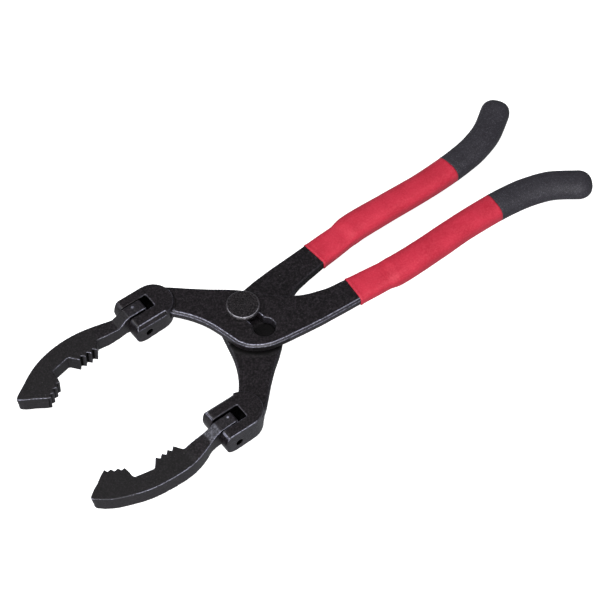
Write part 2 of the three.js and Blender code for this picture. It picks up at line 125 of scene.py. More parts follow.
def bevel(bm, chosen, width, segments=1, clamp=True):
    """Bevels the sharp edges chosen by middle and run, in millimetres, and outward direction."""
    edges = []
    bm.normal_update()
    for edge in bm.edges:
        if len(edge.link_faces) != 2 or edge.calc_face_angle() < BEVEL_ANGLE:
            continue
        a, b = (v.co / MM for v in edge.verts)
        outward = edge.link_faces[0].normal + edge.link_faces[1].normal
        if chosen((a + b) / 2, b - a, outward):
            edges.append(edge)
    bmesh.ops.bevel(
        bm, geom=edges, offset=width * MM, offset_type="OFFSET", segments=segments,
        profile=0.5, affect="EDGES", clamp_overlap=clamp,
    )


def cut_off(bm, x):
    """Removes what lies past x, inside the grips, and closes the end."""
    cut = bmesh.ops.bisect_plane(
        bm, geom=bm.verts[:] + bm.edges[:] + bm.faces[:], plane_co=(x * MM, 0, 0),
        plane_no=(1, 0, 0), clear_outer=True,
    )
    edges = [g for g in cut["geom_cut"] if isinstance(g, bmesh.types.BMEdge)]
    bmesh.ops.holes_fill(bm, edges=edges)


def stud(bm, centre, radii):
    """An ellipsoid that the remesh joins on."""
    matrix = Matrix.Translation(centre * MM) @ Matrix.Diagonal((*[r * MM for r in radii], 1))
    bmesh.ops.create_icosphere(bm, subdivisions=3, radius=1.0, matrix=matrix)


def remeshed(name, bm, voxel):
    """A new object with the shape remeshed into small even faces, voxel millimetres wide."""
    bmesh.ops.triangulate(bm, faces=bm.faces)
    mesh = bpy.data.meshes.new(name)
    bm.to_mesh(mesh)
    bm.free()
    obj = bpy.data.objects.new(name, mesh)
    bpy.context.scene.collection.objects.link(obj)
    mod = obj.modifiers.new("remesh", "REMESH")
    mod.mode = "VOXEL"
    mod.voxel_size = voxel * MM
    graph = bpy.context.evaluated_depsgraph_get()
    fine = bpy.data.meshes.new_from_object(obj.evaluated_get(graph))
    obj.modifiers.clear()
    obj.data = fine
    bpy.data.meshes.remove(mesh)
    fine.name = name
    return obj


class Skin:
    """A mesh's points as arrays, for smoothing and shaping."""

    def __init__(self, mesh):
        self.mesh = mesh
        count = len(mesh.vertices)
        self.co = np.empty(count * 3)
        mesh.vertices.foreach_get("co", self.co)
        self.co = self.co.reshape(-1, 3) / MM
        edges = np.empty(len(mesh.edges) * 2, dtype=np.int64)
        mesh.edges.foreach_get("vertices", edges)
        self.a, self.b = edges.reshape(-1, 2).T
        self.degree = np.bincount(self.a, minlength=count) + np.bincount(self.b, minlength=count)
        self.degree = np.maximum(self.degree, 1)

    def around(self, values):
        """The mean of each point's neighbours."""
        total = np.zeros_like(values)
        if values.ndim == 1:
            total += np.bincount(self.a, values[self.b], len(values))
            total += np.bincount(self.b, values[self.a], len(values))
            return total / self.degree
        for axis in range(values.shape[1]):
            column = values[:, axis]
            total[:, axis] += np.bincount(self.a, column[self.b], len(column))
            total[:, axis] += np.bincount(self.b, column[self.a], len(column))
        return total / self.degree[:, None]

    def smooth(self, rounds):
        for _ in range(rounds):
            self.co += 0.5 * (self.around(self.co) - self.co)

    def write(self):
        self.mesh.vertices.foreach_set("co", (self.co * MM).ravel())
        self.mesh.update()

    def normals(self):
        self.write()
        out = np.empty(len(self.co) * 3)
        self.mesh.vertices.foreach_get("normal", out)
        return out.reshape(-1, 3)

    def store(self, name, values):
        layer = self.mesh.attributes.get(name) or self.mesh.attributes.new(name, "FLOAT", "POINT")
        layer.data.foreach_set("value", np.ascontiguousarray(values, dtype=np.float32))


def sharp_points(bm, step=0.2):
    """Points in millimetres along the sharp outward edges, and which way each edge faces."""
    points, facing = [], []
    bm.normal_update()
    for edge in bm.edges:
        if len(edge.link_faces) != 2 or edge.calc_face_angle_signed() < SHARP_ANGLE:
            continue
        a, b = (v.co / MM for v in edge.verts)
        count = max(1, int((b - a).length / step))
        outward = (edge.link_faces[0].normal + edge.link_faces[1].normal).normalized()
        points += [a.lerp(b, i / count) for i in range(count + 1)]
        facing += [outward] * (count + 1)
    return np.array(points), np.array(facing)


def edge_wear_and_highlight(co, points, strength, width):
    """How rubbed each point is, with its painted highlight: strong on the sharp edges, gone within a short
    distance of them.
    """
    points, strength = points[strength > 0.01], strength[strength > 0.01]
    tree = kdtree.KDTree(len(points))
    for i, point in enumerate(points):
        tree.insert(point, i)
    tree.balance()
    found = [tree.find(p)[1:] for p in co]
    index = np.array([f[0] for f in found])
    distance = np.array([f[1] for f in found])
    return strength[index] * np.exp(-((distance / width) ** 2))


def forge(name, node, body, material, voxel, rounds, prepare=None, rub_and_highlight=None, shape=None,
          skin=0.03, line=0.42):
    """A forged or turned piece on its CAD node: rounded edges, a fine skin, and rubbed edges with painted
    highlights.

    prepare edits the sharp mesh, the function after it gives how rubbed and highlighted its edges are, and
    shape edits the fine mesh and its marks. skin is the roughness and line the width of a rubbed,
    highlighted edge, in millimetres.
    """
    bm = cad_bmesh(node)
    if prepare:
        prepare(bm)
    points, facing = sharp_points(bm)
    obj = remeshed(name, bm, voxel)
    part = Skin(obj.data)
    strength = rub_and_highlight(points, facing) if rub_and_highlight else np.full(len(points), 0.5)
    wear_and_highlight = edge_wear_and_highlight(part.co, points, strength, line)
    part.smooth(rounds)
    normal = part.normals()
    bend = np.einsum("ij,ij->i", part.co - part.around(part.co), normal)
    for _ in range(2):
        bend = 0.5 * (bend + part.around(bend))
    marks = {
        "wear_and_highlight": wear_and_highlight,
        # painted shade in the hollows: darker the further a point lies below its neighbours
        "painted_shade": 0.8 * np.clip(-bend / (HOLLOW * voxel) - 0.2, 0, 1),
        "sand_and_lit": np.zeros(len(wear_and_highlight)),
    }
    if shape:
        shape(part, normal, marks)
    for key, values in marks.items():
        part.store(key, np.clip(values, 0, 1))
    if skin:
        rough = np.array([
            noise.noise(Vector(p) * 0.45) + 0.5 * noise.noise(Vector(p) * 1.3 + Vector((7, 3, 5)))
            for p in part.co
        ])
        part.co += normal * (skin * rough)[:, None]
    part.write()
    obj.data.shade_smooth()
    obj.data.materials.clear()
    obj.data.materials.append(material)
    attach(obj, body)
    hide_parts(node)


# ---- Materials ---------------------------------------------------------------------------------


class Shader:
    """A principled material whose inputs are wired from small procedural nodes."""

    def __init__(self, name, **flat):
        self.material = bpy.data.materials.new(name)
        self.material.use_nodes = True
        self.tree = self.material.node_tree
        self.bsdf = next(n for n in self.tree.nodes if n.type == "BSDF_PRINCIPLED")
        for key, value in flat.items():
            self.bsdf.inputs[key.replace("_", " ")].default_value = value
        coordinates = self.tree.nodes.new("ShaderNodeTexCoord")
        self.mm = self.add("ShaderNodeVectorMath", "Vector", operation="SCALE",
                           inputs={"Vector": coordinates.outputs["Object"], "Scale": 1 / MM})

    def add(self, kind, output=0, inputs=None, **settings):
        node = self.tree.nodes.new(kind)
        for key, value in settings.items():
            setattr(node, key, value)
        for key, value in (inputs or {}).items():
            if isinstance(value, bpy.types.NodeSocket):
                self.tree.links.new(value, node.inputs[key])
            else:
                node.inputs[key].default_value = value
        return node.outputs[output]

    def noise(self, scale, detail, rough):
        return self.add("ShaderNodeTexNoise", inputs={
            "Vector": self.mm, "Scale": scale, "Detail": detail, "Roughness": rough})

    def cells(self, scale, output="Distance"):
        return self.add("ShaderNodeTexVoronoi", output, inputs={"Vector": self.mm, "Scale": scale})

    def dots(self, scale, share, spread, inner, outer):
        """Soft round dots, one in some of the cells: those whose random value passes share."""
        chance = self.band(self.cells(scale, "Color"), share, share + spread)
        return self.math("MULTIPLY", self.band(self.cells(scale), inner, outer, 1.0, 0.0), chance)

    def attribute(self, name):
        return self.add("ShaderNodeAttribute", "Fac", attribute_name=name)

    def band(self, value, low, high, start=0.0, end=1.0):
        """value from low to high becomes start to end, held past both."""
        return self.add("ShaderNodeMapRange", inputs={
            "Value": value, "From Min": low, "From Max": high, "To Min": start, "To Max": end})

    def math(self, operation, a, b):
        return self.add("ShaderNodeMath", operation=operation, inputs={0: a, 1: b})

    def mix(self, factor, a, b):
        node = self.tree.nodes.new("ShaderNodeMix")
        node.data_type = "RGBA"
        for index, value in ((0, factor), (6, a), (7, b)):
            if isinstance(value, bpy.types.NodeSocket):
                self.tree.links.new(value, node.inputs[index])
            else:
                if index and len(value) == 3:
                    value = (*value, 1)
                node.inputs[index].default_value = value
        return node.outputs[2]

    def into(self, key, socket):
        self.tree.links.new(socket, self.bsdf.inputs[key])

    def bump(self, height, strength, distance_mm):
        normal = self.add("ShaderNodeBump", "Normal", inputs={
            "Height": height, "Strength": strength, "Distance": distance_mm * MM})
        self.into("Normal", normal)


FLECKS = ((1.25, 0.80, 0.035), (0.55, 0.90, 0.11), (0.30, 0.93, 0.20))  # scale, share, shade
SPECKS = ((1.5, 0.56), (1.0, 0.68))  # scale, share
SAND_AND_LIT = (0.075, 0.075, 0.094)
SHADE_COLOUR = (0.0008, 0.0008, 0.0008)
CRUMB = (0.16, 0.105, 0.055)
EDGE_WEAR_AND_HIGHLIGHT = (0.27, 0.27, 0.345)


def scaled(colour, factor):
    return tuple(factor * c for c in colour)


def steel(name, dark, light, edge, rough=0.36, metallic=0.25, speck=0.8):
    """Black oxide on forged steel: mottled, flecked with bright grains, rubbed bare with painted
    highlights on edges, painted shade in hollows.
    """
    s = Shader(name, Specular_IOR_Level=0.5)
    grain = s.noise(1.0, 3.0, 0.75)
    colour = s.mix(s.band(s.noise(0.16, 4.0, 0.6), 0.35, 0.65), dark, light)
    colour = s.mix(s.band(grain, 0.40, 0.54, 1.0, 0.0), colour, scaled(dark, 0.2))
    colour = s.mix(s.band(grain, 0.50, 0.68), colour, scaled(light, 3.6))
    for scale, share, shade in FLECKS:
        dot = s.dots(scale, share, 0.05, 0.22 * scale, 0.48 * scale)
        colour = s.mix(s.math("MULTIPLY", dot, speck), colour, (shade, 0.97 * shade, 1.04 * shade))
    # pebbled sandy grain on the rough faces; the same mark also lightens lit walls as painted light
    pebble = s.band(s.noise(0.75, 3.0, 0.6), 0.40, 0.60)
    sand_and_lit = s.attribute("sand_and_lit")
    colour = s.mix(s.math("MULTIPLY", sand_and_lit, s.band(pebble, 0.0, 1.0, 0.25, 1.1)), colour, SAND_AND_LIT)
    # bare metal and painted highlights on the edges, in broken lines
    wear_and_highlight = s.attribute("wear_and_highlight")
    broken = s.band(s.noise(0.62, 4.0, 0.7), 0.38, 0.60)
    rub_and_shine = s.band(s.math("ADD", wear_and_highlight, s.math("MULTIPLY", broken, 0.55)), 0.78, 1.12)
    rub_and_shine = s.math("MULTIPLY", rub_and_shine, s.band(wear_and_highlight, 0.1, 0.5))
    rub_and_shine = s.math("MAXIMUM", rub_and_shine, s.math("MULTIPLY", wear_and_highlight, 0.3))
    rub_and_shine = s.math("MULTIPLY", rub_and_shine, s.band(s.noise(0.9, 3.0, 0.6), 0.36, 0.56, 0.4, 1.0))
    colour = s.mix(rub_and_shine, colour, edge)
    # painted shade in the hollows and recesses, with a few bronze crumbs where it is darkest
    painted_shade = s.attribute("painted_shade")
    colour = s.mix(painted_shade, colour, SHADE_COLOUR)
    crumb = s.dots(0.75, 0.84, 0.03, 0.2, 0.34)
    colour = s.mix(s.math("MULTIPLY", crumb, s.band(painted_shade, 0.8, 1.0)), colour, CRUMB)
    s.into("Base Color", colour)
    roughness = s.band(grain, 0.3, 0.7, rough - 0.08, rough + 0.12)
    s.into("Roughness", s.math("ADD", roughness, s.math("MULTIPLY", painted_shade, 0.45)))
    s.into("Metallic", s.math("MAXIMUM", s.band(rub_and_shine, 0.0, 1.0, metallic, 0.55), painted_shade))
    height = s.math("ADD", s.noise(1.5, 3.0, 0.65), s.math("MULTIPLY", s.noise(5.0, 2.0, 0.5), 0.3))
    pebbles = s.math("MULTIPLY", s.math("MULTIPLY", pebble, sand_and_lit), 3.4)
    s.bump(s.math("ADD", height, pebbles), 0.6, 0.16)
    return s.material


def vinyl(name, base, shade, light, rough, grain_scale, speck=None):
    """Dipped vinyl: fine pebbled grain, soft broad variation and a satin surface."""
    s = Shader(name, Specular_IOR_Level=0.3)
    broad = s.noise(0.07, 3.0, 0.5)
    colour = s.mix(s.band(broad, 0.35, 0.65), shade, base)
    pebble = s.noise(grain_scale, 4.0, 0.62)
    colour = s.mix(s.band(pebble, 0.42, 0.75, 0.0, 0.55), colour, light)
    if speck:
        for scale, share in SPECKS:
            dot = s.dots(scale, share, 0.20, 0.15, 0.50)
            colour = s.mix(s.math("MULTIPLY", dot, 0.8), colour, speck)
    s.into("Base Color", colour)
    s.into("Roughness", s.band(pebble, 0.3, 0.7, rough - 0.07, rough + 0.09))
    height = s.math("ADD", s.noise(grain_scale * 0.8, 4.0, 0.6), s.noise(grain_scale * 2.6, 2.0, 0.5))
    s.bump(height, 0.55, 0.2)
    return s.material


FORGED = steel("black_forged_steel", (0.0058, 0.0044, 0.0056), (0.0088, 0.0068, 0.0086), EDGE_WEAR_AND_HIGHLIGHT)
JAW_STEEL = steel("black_jaw_steel", (0.0052, 0.0040, 0.0052), (0.0080, 0.0062, 0.0080), EDGE_WEAR_AND_HIGHLIGHT,
                  rough=0.40)
PIN_STEEL = steel("pin_steel", (0.0046, 0.0040, 0.0045), (0.0165, 0.0142, 0.0158),
                  (0.34, 0.33, 0.37), rough=0.32)
# painted shade: the cross pins are near black, as their ends sit in shadow in the bores
SPRING_PIN_IN_SHADE = steel("spring_pin_in_shade", (0.0010, 0.0009, 0.0009), (0.0015, 0.0013, 0.0013),
                     (0.004, 0.003, 0.0025), rough=0.6, metallic=0.9, speck=0.05)
RED = vinyl("red_vinyl", (0.455, 0.020, 0.044), (0.390, 0.014, 0.033), (0.580, 0.052, 0.086),
            rough=0.5, grain_scale=0.9)
CHARCOAL = vinyl("charcoal_vinyl", (0.0205, 0.0187, 0.024), (0.0135, 0.012, 0.016),
                 (0.060, 0.058, 0.072), rough=0.6, grain_scale=1.3, speck=(0.080, 0.079, 0.095))

# ---- Levers ------------------------------------------------------------------------------------

LEVER_VOXEL = 0.38
BAR_CUT_X = 84.0  # the bar past here is inside the grip
PLATE_EDGE_X = -40.0  # the plate's rounded edges begin here, clear of the fork
TOLERANCE = 0.05
HOLE_R = SEAT_R + 1.2  # reaches past the rims of the pivot bore and the keyhole

# The bars are a little fuller than the CAD: x against millimetres added on one side, where far is
# the photo's far side (+y).
BAR_START_X = -12
BAR_FAR = {
    "upper": ([34, 45, 66, 74], [0, 1.5, 1.6, 0]),
    "lower": ([3, 20, 50, 66, 74], [0, 1.3, 1.4, 1.6, 0]),
}
BAR_NEAR = {
    "upper": ([-4, 10, 20, 55, 66, 74], [0, 1.2, 1.5, 1.6, 1.5, 0]),
    "lower": ([38, 48, 56, 66, 74], [0, 1.8, 2.0, 1.5, 0]),
}
BAR_BAND = (7, 2)  # distance from the edge where widening begins, and where it is full


def trace_outline():
    """The upper lever's lower outline as a search tree, for the painted shadow it casts on the lever
    beside it.
    """
    bm = cad_bmesh("lever_upper")
    points, _ = sharp_points(bm, step=0.6)
    bm.free()
    points = points[np.abs(points[:, 2] - LEVERS["upper"]["z"]) < TOLERANCE]
    tree = kdtree.KDTree(len(points))
    for i, point in enumerate(points):
        tree.insert((point[0], point[1], 0), i)
    tree.balance()
    return tree


UPPER_OUTLINE = trace_outline()


def in_hole(x, y):
    """Whether a point of the plan is in or just round the pivot bore or the keyhole's open seat."""
    return np.minimum(np.hypot(x, y), np.hypot(x - OPEN_SEAT[0], y - OPEN_SEAT[1])) < HOLE_R


def widen_bar(part, which):
    """Moves the bar's long edges outwards, with the band of face that lies along them."""
    x, y = part.co[:, 0], part.co[:, 1]
    columns = np.arange(int(BAR_CUT_X) - BAR_START_X + 1)
    column = np.clip(np.round(x - BAR_START_X).astype(int), 0, columns[-1])
    far_edge, near_edge = np.full(len(columns), -99.0), np.full(len(columns), 99.0)
    np.maximum.at(far_edge, column, y)
    np.minimum.at(near_edge, column, y)
    at = np.clip(x - BAR_START_X, 0, columns[-1])
    from_far = np.interp(at, columns, far_edge) - y
    from_near = y - np.interp(at, columns, near_edge)
    far = np.interp(x, *BAR_FAR[which]) * ramp(from_far, *BAR_BAND)
    near = np.interp(x, *BAR_NEAR[which]) * ramp(from_near, *BAR_BAND)
    part.co[:, 1] += far - near


def build_lever(which):
    lever = LEVERS[which]
    low = lever["z"]
    top = low + PLATE
    fork_top = low + FORK_TOP
    upper = lever["mirror"]
    chamfer = 1.3 if upper else 0.7

    def prepare(bm):
        """Bevels: a chamfer on the near edges of the plate, finer ones elsewhere."""
        cut_off(bm, BAR_CUT_X)

        def plate_edge(middle, along):
            level = abs(middle.z - top) < TOLERANCE or abs(middle.z - low) < TOLERANCE
            between = PLATE_EDGE_X < middle.x < BAR_CUT_X - 1
            return level and abs(along.z) < 0.01 and between and not in_hole(*middle.xy)

        def near_edge(middle, along, outward):
            return plate_edge(middle, along) and outward.y < 0.15

        def far_edge(middle, along, outward):
            return plate_edge(middle, along) and outward.y >= 0.15

        def ear_front(middle, along, outward):
            high = abs(middle.z - fork_top) < TOLERANCE
            return high and middle.x < FORK_FRONT_X + 0.8 and abs(along.y) > 0.5 * along.length

        def fork_rim(middle, along, outward):
            high = abs(middle.z - fork_top) < TOLERANCE
            return high and middle.x < -34 and middle.y < lever["fork_y"] - 5.5

        bevel(bm, near_edge, chamfer, clamp=False)
        bevel(bm, far_edge, 0.5, clamp=False)
        bevel(bm, ear_front, 1.1 if upper else 2.4, 3)
        if not upper:
            bevel(bm, fork_rim, 0.55)

    def rub_and_highlight(points, facing):
        """Strength of the rubbing and painted highlight along each sharp edge, brighter on the lit edges:
        about 1 is bare metal, 0.1 hardly shows.
        """
        x, y, z = points.T
        if upper:
            plate = first([(facing[:, 1] > 0.15, 0.1), (z > top - 0.3, 1.15), (z > top - 2, 0.98)], 0.2)
        else:
            plate = first([(z > top - 2, 0.25), (x > 20, 0.6)], 0.1)
        near = y < lever["fork_y"] - SLOT_HALF
        slot = np.abs(y - lever["slot_y"]) < SLOT_HALF + 0.4
        back = x > FORK_BACK_X + 2
        ears = (x < FORK_FRONT_X + 2) & ~slot
        fork = first([
            (z < low - 2, 0.12),
            (ears & (z > fork_top - 3), 0.8),
            (ears, 0.15),
            (slot & (z <= fork_top - 0.5), 0.1),
            (slot & upper & (x < -49), 0.0),
            (slot, 0.65),
            (back & (z > fork_top - 1), 0.52 if upper else 0.4),
            (back, 0.12),
            (near & (z < fork_top - 1.5), 0.95 if upper else 0.2),
            (near, 1.3),
        ], 0.25)
        on_fork = (x < FORK_BACK_X + FORK_HALF) & ((z > top + 0.1) | (x < PLATE_EDGE_X - 1))
        bore = np.hypot(x - PIN_X, z - lever["pin_z"]) < PIN_BORE_R + 0.5
        hole = in_hole(x, y) & (x > -20)
        return first([
            (bore & (x < -50), 0.0),
            (hole & (x > 2) & (y > -23) & (z > top - 1), 0.82),
            (hole, 0.12),
            (on_fork, fork),
        ], plate)

    def mark_fork(part, normal, marks):
        """Painted shade in the slot and cross bore, and painted highlights on the front corners."""
        x, y, z = part.co.T
        across = np.abs(y - lever["slot_y"])
        slot = (across < SLOT_HALF + 0.3) & (x < SLOT_END_X + 0.3) & (x > FORK_FRONT_X)
        raise_mark(marks, "painted_shade", slot * ramp(z, fork_top - 0.35, fork_top - 1.1))
        bore = np.hypot(x - PIN_X, z - lever["pin_z"]) < PIN_BORE_R + 0.3
        raise_mark(marks, "painted_shade", bore & (np.abs(y - lever["fork_y"]) < FORK_HALF - 0.25))
        corner = np.hypot(x - FORK_FRONT_X, z - fork_top + 0.7) < (0.75 if upper else 1.0)
        raise_mark(marks, "wear_and_highlight", (corner & (across >= SLOT_HALF)) * (0.35 if upper else 0.75))

    def mark_upper(part, normal, marks):
        """Painted shade on the keyhole's wall with a lighter painted strip where it is lit, a painted
        highlight on the near chamfer with a bright patch, and painted shade at the hub's foot.
        """
        x, y, z = part.co.T
        up = normal[:, 2]
        hole = in_hole(x, y)
        wall = hole & (np.abs(x) < 12) & (up < 0.5)
        raise_mark(marks, "painted_shade", 0.9 * wall * ramp(z, top - 0.3, top - 1.4) * ramp(x, 6.5, 4.0))
        # painted light: the lit part of the keyhole's wall is made lighter
        raise_mark(marks, "sand_and_lit", 0.22 * wall * ramp(x, 4.5, 6.5))
        bevelled = (z > top - chamfer - 0.1) & (z < top - TOLERANCE) & (x > PLATE_EDGE_X) & ~hole
        near_side = ramp(up, 0.5, 0.65) * ramp(normal[:, 1], 0.15, 0.0)
        raise_mark(marks, "wear_and_highlight", 0.24 * bevelled * near_side)
        patch = np.exp(-((x + 5.5) / 2.4) ** 2 - ((y + 37.0) / 1.6) ** 2)
        raise_mark(marks, "wear_and_highlight", 0.9 * patch * (z > top - 2.2))
        raise_mark(marks, "painted_shade", 0.55 * (x > -26) * (x < 10) * (y < -28) * ramp(up, 0.45, 0.2))

    def mark_lower(part, normal, marks):
        """Painted shade in the open seat, a painted shadow beside the upper lever and painted shade on the
        walls; a pebbled fork side, lightened as painted light.
        """
        x, y, z = part.co.T
        up = normal[:, 2]
        seat = np.hypot(x - OPEN_SEAT[0], y - OPEN_SEAT[1])
        raise_mark(marks, "painted_shade", 0.72 * ramp(seat, 9.5, 6.5) * (z > top - 1))
        away = np.full(len(x), 99.0)
        for i in np.flatnonzero((x > PLATE_EDGE_X) & (y < -14) & (z > low + 1)):
            away[i] = UPPER_OUTLINE.find((x[i], y[i], 0))[2]
        # painted shadow of the upper lever on this one, fading with distance from its outline
        raise_mark(marks, "painted_shade", 0.85 * np.exp(-(away / 2.6) ** 2))
        far_of_fork = (x > PLATE_EDGE_X) & (y > lever["fork_y"] + FORK_HALF - 1)
        own = (x > FORK_BACK_X + FORK_HALF) | far_of_fork
        walls = own * ramp(up, 0.6, 0.3) * ramp(z, low + 0.5, low + 1.6)
        raise_mark(marks, "painted_shade", np.where(x > 15, 0.72, 0.6) * walls)
        side = (x > FORK_FRONT_X) & (x < -30) & (y < lever["fork_y"] - 3)
        # painted light: the near fork side, facing the lamps, is lightened, with pebbled grain
        pebbled = side * ramp(normal[:, 1], -0.1, -0.6)
        raise_mark(marks, "sand_and_lit", pebbled * (0.17 + 0.04 * ramp(x, -60, -38)))

    def shape(part, normal, marks):
        mark_fork(part, normal, marks)
        (mark_upper if upper else mark_lower)(part, normal, marks)
        widen_bar(part, which)

    forge(f"lever_{which}_forging", f"lever_{which}", f"{which}_lever", FORGED,
          LEVER_VOXEL, 2, prepare, rub_and_highlight, shape, line=0.37)


for which in LEVERS:
    build_lever(which)

# ---- Jaws --------------------------------------------------------------------------------------

# In the lower jaw's plan; z levels are above the lever's underside with the droop taken out
JAW_ARC_CENTRE = (-105.0, -6.1)
JAW_ARC_R = 63.8
JAW_NOSE = (-152.3, -49.7)
JAW_EDGE_LEVEL = 3.5  # edges above this are the upper ones
JAW_LOW_LEVEL = -6.0
TIP_ROW = (-135.3, -39.9)  # a point of the tip's row of teeth
TIP_OUT = (0.521, 0.853)  # the way that row faces
TIP_END_X = -121.5
TANG_TOE_X = -71.4
TANG_SHOULDER_X = -63.4
TANG_STUDS = {"upper": (-57.1, 40.6, 0.95), "lower": (-54.5, -58.3, 0.8)}
# How far each jaw's mesh is pushed past the CAD, in millimetres
JAW_BELLY = {"upper": 0.9, "lower": 2.3}
JAW_DEEPER = {"upper": 1.3, "lower": 1.7}
JAW_NOSE_PUSH = {"upper": 0.6, "lower": 0.8}
TIP_FLARE = 1.35
TIP_FLARE_X = {"upper": (-141, -151), "lower": (-129, -145)}
TIP_GROWTH = 1.5


def build_jaw(which):
    lever = LEVERS[which]
    upper = lever["mirror"]

    def own(y):
        return -y - SLOT_PITCH if upper else y

    def levelled(x, z):
        return z + lever["droop"] * (PIN_X - x) - lever["z"]

    def near_nose(x, own_y, radius):
        return np.exp(-((x - JAW_NOSE[0]) ** 2 + (own_y - JAW_NOSE[1]) ** 2) / radius ** 2)

    def prepare(bm):
        x, y, radius = TANG_STUDS[which]
        above = [v.co.z / MM for v in bm.verts if v.co.x / MM > TANG_SHOULDER_X]
        stud(bm, Vector((x, y, max(above) - 0.35)), (radius, radius, 0.75))

    # painted highlights along the upper edges and a painted glint at the nose, as well as bare metal
    def rub_and_highlight(points, facing):
        x, y, z = points.T
        level = levelled(x, z)
        high = level > JAW_EDGE_LEVEL
        glint = 0.6 * high * near_nose(x, own(y), 3.5)
        line = 0.95 if upper else 0.55 + 0.75 * ramp(x, -138, -118)
        bore = np.hypot(x - PIN_X, level + lever["z"] - lever["pin_z"]) < PIN_BORE_R + 0.5
        tang = x > TANG_TOE_X + 1.4
        return first([
            (bore, 0.0),
            ((x < -88) & (level < JAW_EDGE_LEVEL) & (level > JAW_LOW_LEVEL), 0.3),
            ((x > -73) & (facing[:, 1] > 0.2), 0.12),
            (tang & (level > 5) & (facing[:, 1] < -0.3), 1.3),
            (tang, 0.15),
            ((x < -86) & (facing[:, 0] > 0.45), 0.15 + glint),
            (high, line + glint),
        ], 0.2)

    def mark_tang(x, up, marks):
        """Sandy grain on the sloping toe and the tang's top, painted shade down its sides and on the upper
        jaw's toe.
        """
        toe = ramp(x, TANG_TOE_X - 1.2, TANG_TOE_X + 0.6)
        facet = toe * ramp(x, TANG_SHOULDER_X + 0.8, TANG_SHOULDER_X - 0.8) * ramp(up, 0.5, 0.8)
        marks["sand_and_lit"] = facet * (0.16 if upper else 0.95)
        raise_mark(marks, "painted_shade", facet * (0.45 if upper else 0.0))
        tang = ramp(x, TANG_SHOULDER_X - 0.5, TANG_SHOULDER_X + 1.0)
        raise_mark(marks, "sand_and_lit", 0.08 * tang * ramp(up, 0.6, 0.9))
        dull = 1 - np.clip(1.6 * marks["wear_and_highlight"], 0, 1)
        raise_mark(marks, "painted_shade", tang * (ramp(up, 0.6, 0.2) * dull) * 0.95)

    def mark_gullets(x, own_y, normal, marks):
        """Painted shade between the teeth of both rows, darkest on the flanks that face the tip."""
        inner = (x > -105) & (x < -91) & (own_y > -55)
        tip = (x < -123) & (x > -137) & (own_y > -48.5)
        tip_depth = -(own_y - TIP_ROW[1] + 0.6 * (x - TIP_ROW[0]))
        depth = np.where(inner, -51.4 - own_y, np.where(tip, tip_depth, 0))
        gullet = ramp(depth, 0.9, 2.0) * ramp(normal[:, 2], 0.6, 0.3) * (inner | tip)
        raise_mark(marks, "painted_shade", 0.5 * gullet)
        raise_mark(marks, "painted_shade", gullet * ramp(normal[:, 0], 0.2, -0.3))

    def push_out(part, x, own_y, z):
        """Fuller belly, nose, tip row and underside than the CAD's."""
        reach = np.hypot(x - JAW_ARC_CENTRE[0], own_y - JAW_ARC_CENTRE[1])
        belly = TIP_FLARE * ramp(x, *TIP_FLARE_X[which])
        belly += JAW_BELLY[which] * np.exp(-((x + 87) / 13) ** 2) * ramp(x, -69, -77)
        belly = belly * ramp(reach, JAW_ARC_R - 7, JAW_ARC_R) / reach
        row = (x - TIP_ROW[0]) * TIP_OUT[0] + (own_y - TIP_ROW[1]) * TIP_OUT[1]
        grow = TIP_GROWTH * ramp(row, -9, -2) * ramp(x, TIP_END_X, TIP_END_X - 3)
        level = levelled(x, z)
        nose = JAW_NOSE_PUSH[which] * near_nose(x, own_y, 2.9)
        nose = nose * (1 + 1.7 * ramp(level, JAW_EDGE_LEVEL, JAW_LOW_LEVEL))
        part.co[:, 0] += belly * (x - JAW_ARC_CENTRE[0]) + TIP_OUT[0] * grow + nose
        outward = belly * (own_y - JAW_ARC_CENTRE[1]) + TIP_OUT[1] * grow
        part.co[:, 1] += -outward if upper else outward
        body = level[x < -90]
        deep = ramp(level, body.max() - 1.5, body.min() + 0.5)
        part.co[:, 2] -= JAW_DEEPER[which] * ramp(x, -70, -80) * deep

    def shape(part, normal, marks):
        x, y, z = part.co.T
        up = normal[:, 2]
        own_y = own(y)
        mark_tang(x, up, marks)
        mark_gullets(x, own_y, normal, marks)
        # blunt the tip row; x, y and z are views of part.co, so they are the smoothed ones below
        sharp = part.co.copy()
        part.smooth(5)
        blunt = ramp(x, -122.5, -124.5) * ramp(own_y, -49.5, -47.5) * ramp(x, -139, -137)
        part.co = sharp + (part.co - sharp) * blunt[:, None]
        push_out(part, x, own_y, z)
        # painted highlights on the stud and on the lower jaw's toe, painted shade on the top faces and on
        # the sides
        x0, y0, radius = TANG_STUDS[which]
        dot = np.exp(-(((x - x0) / radius) ** 2 + ((y - y0) / radius) ** 2))
        raise_mark(marks, "wear_and_highlight", 1.4 * dot * (z > lever["z"] + 6))
        if not upper:
            flash = np.exp(-((x - TANG_TOE_X - 1.5) / 1.6) ** 2 - ((y - lever["slot_y"] + 4.6) / 0.8) ** 2)
            raise_mark(marks, "wear_and_highlight", 1.2 * flash * ramp(up, 0.3, 0.6))
        raise_mark(marks, "painted_shade", (0.35 if upper else 0.45) * ramp(x, -84, -90) * ramp(up, 0.7, 0.95))
        raise_mark(marks, "painted_shade", 0.3 * ((x < -104) & (x > -125) & (own_y > -60) & (up < 0.5)))

    forge(f"jaw_{which}_casting", f"jaw_{which}", f"{which}_jaw", JAW_STEEL, 0.36, 2,
          prepare, rub_and_highlight, shape)


for which in LEVERS:
    build_jaw(which)
    forge(f"cross_pin_{which}", f"jaw_pin_{which}", f"{which}_lever", SPRING_PIN_IN_SHADE,
          0.22, 2, rub_and_highlight=lambda points, facing: np.full(len(points), 0.02), skin=0)

# ---- Pivot -------------------------------------------------------------------------------------

